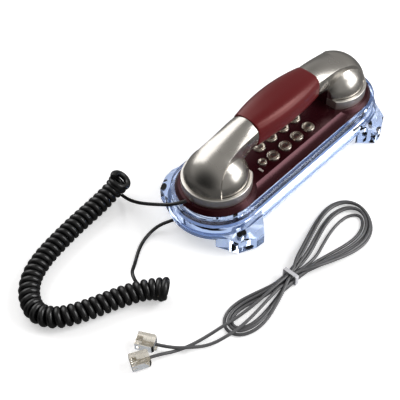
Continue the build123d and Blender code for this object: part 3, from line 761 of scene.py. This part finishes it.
def applyAll(obj):
    only(obj)
    for modifier in list(obj.modifiers):
        bpy.ops.object.modifier_apply(modifier=modifier.name)
    obj.select_set(False)


def boolean(obj, other, operation):
    modifier = obj.modifiers.new("boolean", "BOOLEAN")
    modifier.operation = operation
    modifier.solver = "EXACT"
    modifier.object = other
    applyAll(obj)
    bpy.data.objects.remove(other)


def box(x0, x1, y0, y1, z0, z1):
    bpy.ops.object.select_all(action="DESELECT")
    bpy.ops.mesh.primitive_cube_add(size=1.0)
    obj = bpy.context.object
    place = Matrix.Translation(Vector(((x0 + x1) / 2, (y0 + y1) / 2, (z0 + z1) / 2)) * mm)
    obj.data.transform(place @ Matrix.Diagonal((*(Vector((x1 - x0, y1 - y0, z1 - z0)) * mm), 1)))
    obj.select_set(False)
    return obj


def rounded(obj, width, segments, degrees):
    bevel = obj.modifiers.new("rounded", "BEVEL")
    bevel.width = width * mm
    bevel.segments = segments
    bevel.limit_method = "ANGLE"
    bevel.angle_limit = math.radians(degrees)
    applyAll(obj)


def smooth(obj, degrees):
    only(obj)
    bpy.ops.object.shade_smooth_by_angle(angle=math.radians(degrees))
    obj.select_set(False)


def gripRing(y, count):
    end, middle = handset["gripEnd"], handset["gripMiddle"]
    low, high = handset["seams"]
    t = ((2 * y - low - high) / (high - low)) ** 2
    a, b, z = (m + (e - m) * t for e, m in zip(end, middle))
    power = 2 / handset["squareness"]
    ring = []
    for i in range(count):
        c = math.cos(2 * math.pi * i / count)
        s = math.sin(2 * math.pi * i / count)
        ring.append((a * math.copysign(abs(c) ** power, c), y,
                     z + b * math.copysign(abs(s) ** power, s)))
    return ring


def makeGrip():
    low = handset["seams"][0] + handset["seam"]
    high = handset["seams"][1] - handset["seam"]
    steps = 40
    sections = [gripRing(low + (high - low) * i / steps, 128) for i in range(steps + 1)]
    grip = sectionMesh("gripShell", sections)
    places, radius, depth, height = handset["holes"]
    for y in places:
        bpy.ops.object.select_all(action="DESELECT")
        bpy.ops.mesh.primitive_cylinder_add(vertices=48, radius=radius * mm, depth=depth * mm,
                                            location=(0, y * mm, height * mm))
        boolean(grip, bpy.context.object, "DIFFERENCE")
    rounded(grip, *handset["gripEdge"])
    smooth(grip, 35)
    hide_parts("grip_shell")
    return finish(grip, materials["grip"], "handset")


def hoodRing(row):
    y, turn, w, crease, crown, fx, fr, bx, br = row
    a = math.radians(turn)
    across = (math.cos(a), math.sin(a))
    top = arcThrough((w, crease), (0, crown), (-w, crease), 33)
    left = arcThrough((-w, crease), (-fx, fr), (-bx, br), 13)[1:]
    foot = [(-bx + 2 * bx * i / 12, br) for i in range(1, 12)]
    right = arcThrough((bx, br), (fx, fr), (w, crease), 13)[:-1]
    return [(x, y + r * across[0], handset["pivotZ"] + r * across[1])
            for x, r in top + left + foot + right]


def makeCap(name, node, start):
    # the first two sections move with the seam
    between = (start + hoodRows[2][0]) / 2
    rows = [(start, *hoodRows[0][1:]), (between, *hoodRows[1][1:])] + hoodRows[2:]
    cap = sectionMesh(name, [hoodRing(row) for row in smoothRows(rows, 81)])
    bpy.ops.object.select_all(action="DESELECT")
    bpy.ops.mesh.primitive_uv_sphere_add(segments=128, ring_count=64, radius=1.0)
    ball = bpy.context.object
    radius, height = handset["ball"]
    ball.data.transform(Matrix.Translation(Vector((0, handset["pivotY"], handset["pivotZ"])) * mm)
                        @ Matrix.Diagonal((radius * mm, radius * mm, height * mm, 1)))
    boolean(cap, ball, "UNION")
    boolean(cap, box(-40, 40, 0, handset["faceY"], 0, handset["neckBottom"]), "DIFFERENCE")
    boolean(cap, box(-40, 40, 0, 120, 0, handset["pivotZ"] + 0.02), "DIFFERENCE")
    if node == "ear_cap":
        half, far, top = handset["notch"]
        boolean(cap, box(-half, half, 30, far, 30, top), "DIFFERENCE")
    else:
        cap.data.transform(Matrix.Diagonal((1, -1, 1, 1)))
        cap.data.flip_normals()
    outwards(cap)
    rounded(cap, *handset["capEdge"])
    smooth(cap, 30)
    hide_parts(node)
    finish(cap, materials["nickel"], "handset")


makeGrip()
makeCap("earShell", "ear_cap", handset["seams"][1])
makeCap("mouthShell", "mouth_cap", -handset["seams"][0])
print("handset shells made")

# Keys

keys = {
    "radius": 4.65,
    "smallRadius": 3.2,
    "top": 32.5,
    "small": ("key_redial", "key_flash"),
    # a turned section: share of the radius, and height from the top
    "profile": [(0.0, 0.06), (0.30, 0.05), (0.55, -0.02), (0.60, -0.10), (0.64, -0.55),
                (0.70, -0.75), (0.755, -0.65), (0.79, -0.12), (0.83, -0.02), (0.90, 0.0),
                (0.96, -0.10), (1.0, -0.36)],
    "steps": 48,
    "digitSize": 4.0,
    "digitDepth": 0.05,
    "digitRise": 0.07,
    "marks": {"star": "*", "hash": "#", "redial": "R", "flash": "F"},
}


def turned(name, profile, centre, steps):
    # a section of (radius, height) points turned about an upright axis
    mesh = bpy.data.meshes.new(name)
    mesh.from_pydata([(r * mm, 0, z * mm) for r, z in profile],
                     [(i, i + 1) for i in range(len(profile) - 1)], [])
    obj = bpy.data.objects.new(name, mesh)
    bpy.context.scene.collection.objects.link(obj)
    screw = obj.modifiers.new("turned", "SCREW")
    screw.steps = screw.render_steps = steps
    screw.use_merge_vertices = True
    screw.merge_threshold = 1e-5
    applyAll(obj)
    obj.data.transform(Matrix.Translation(Vector(centre) * mm))
    outwards(obj)
    return obj


def makeKey(node):
    low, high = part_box(node)
    x, y = ((low[i] + high[i]) / 2 / mm for i in (0, 1))
    small = node in keys["small"]
    radius = keys["smallRadius"] if small else keys["radius"]
    mark = node.split("_")[1]
    foot = low[2] / mm - keys["top"]
    profile = [(radius * r, z) for r, z in keys["profile"]] + [(radius, foot), (0.0, foot)]
    cap = turned("cap_" + mark, profile, (x, y, keys["top"]), keys["steps"])
    smooth(cap, 40)
    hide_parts(node)
    finish(cap, materials["keyNickel"], node)
    bpy.ops.object.select_all(action="DESELECT")
    bpy.ops.object.text_add()
    text = bpy.context.object
    text.data.body = keys["marks"].get(mark, mark)
    text.data.align_x = "CENTER"
    text.data.align_y = "CENTER"
    text.data.size = keys["digitSize"] * mm * (radius / keys["radius"])
    text.data.extrude = keys["digitDepth"] * mm
    text.data.resolution_u = 4
    bpy.ops.object.convert(target="MESH")
    digit = bpy.context.object
    digit.name = "digit_" + mark
    digit.data.name = digit.name
    digit.data.transform(Matrix.Translation(Vector((x, y, keys["top"] + keys["digitRise"])) * mm))
    finish(digit, materials["ink"], node)


for keyNode in [name for name in nodes if name.startswith("key_")]:
    makeKey(keyNode)
print("keys made")
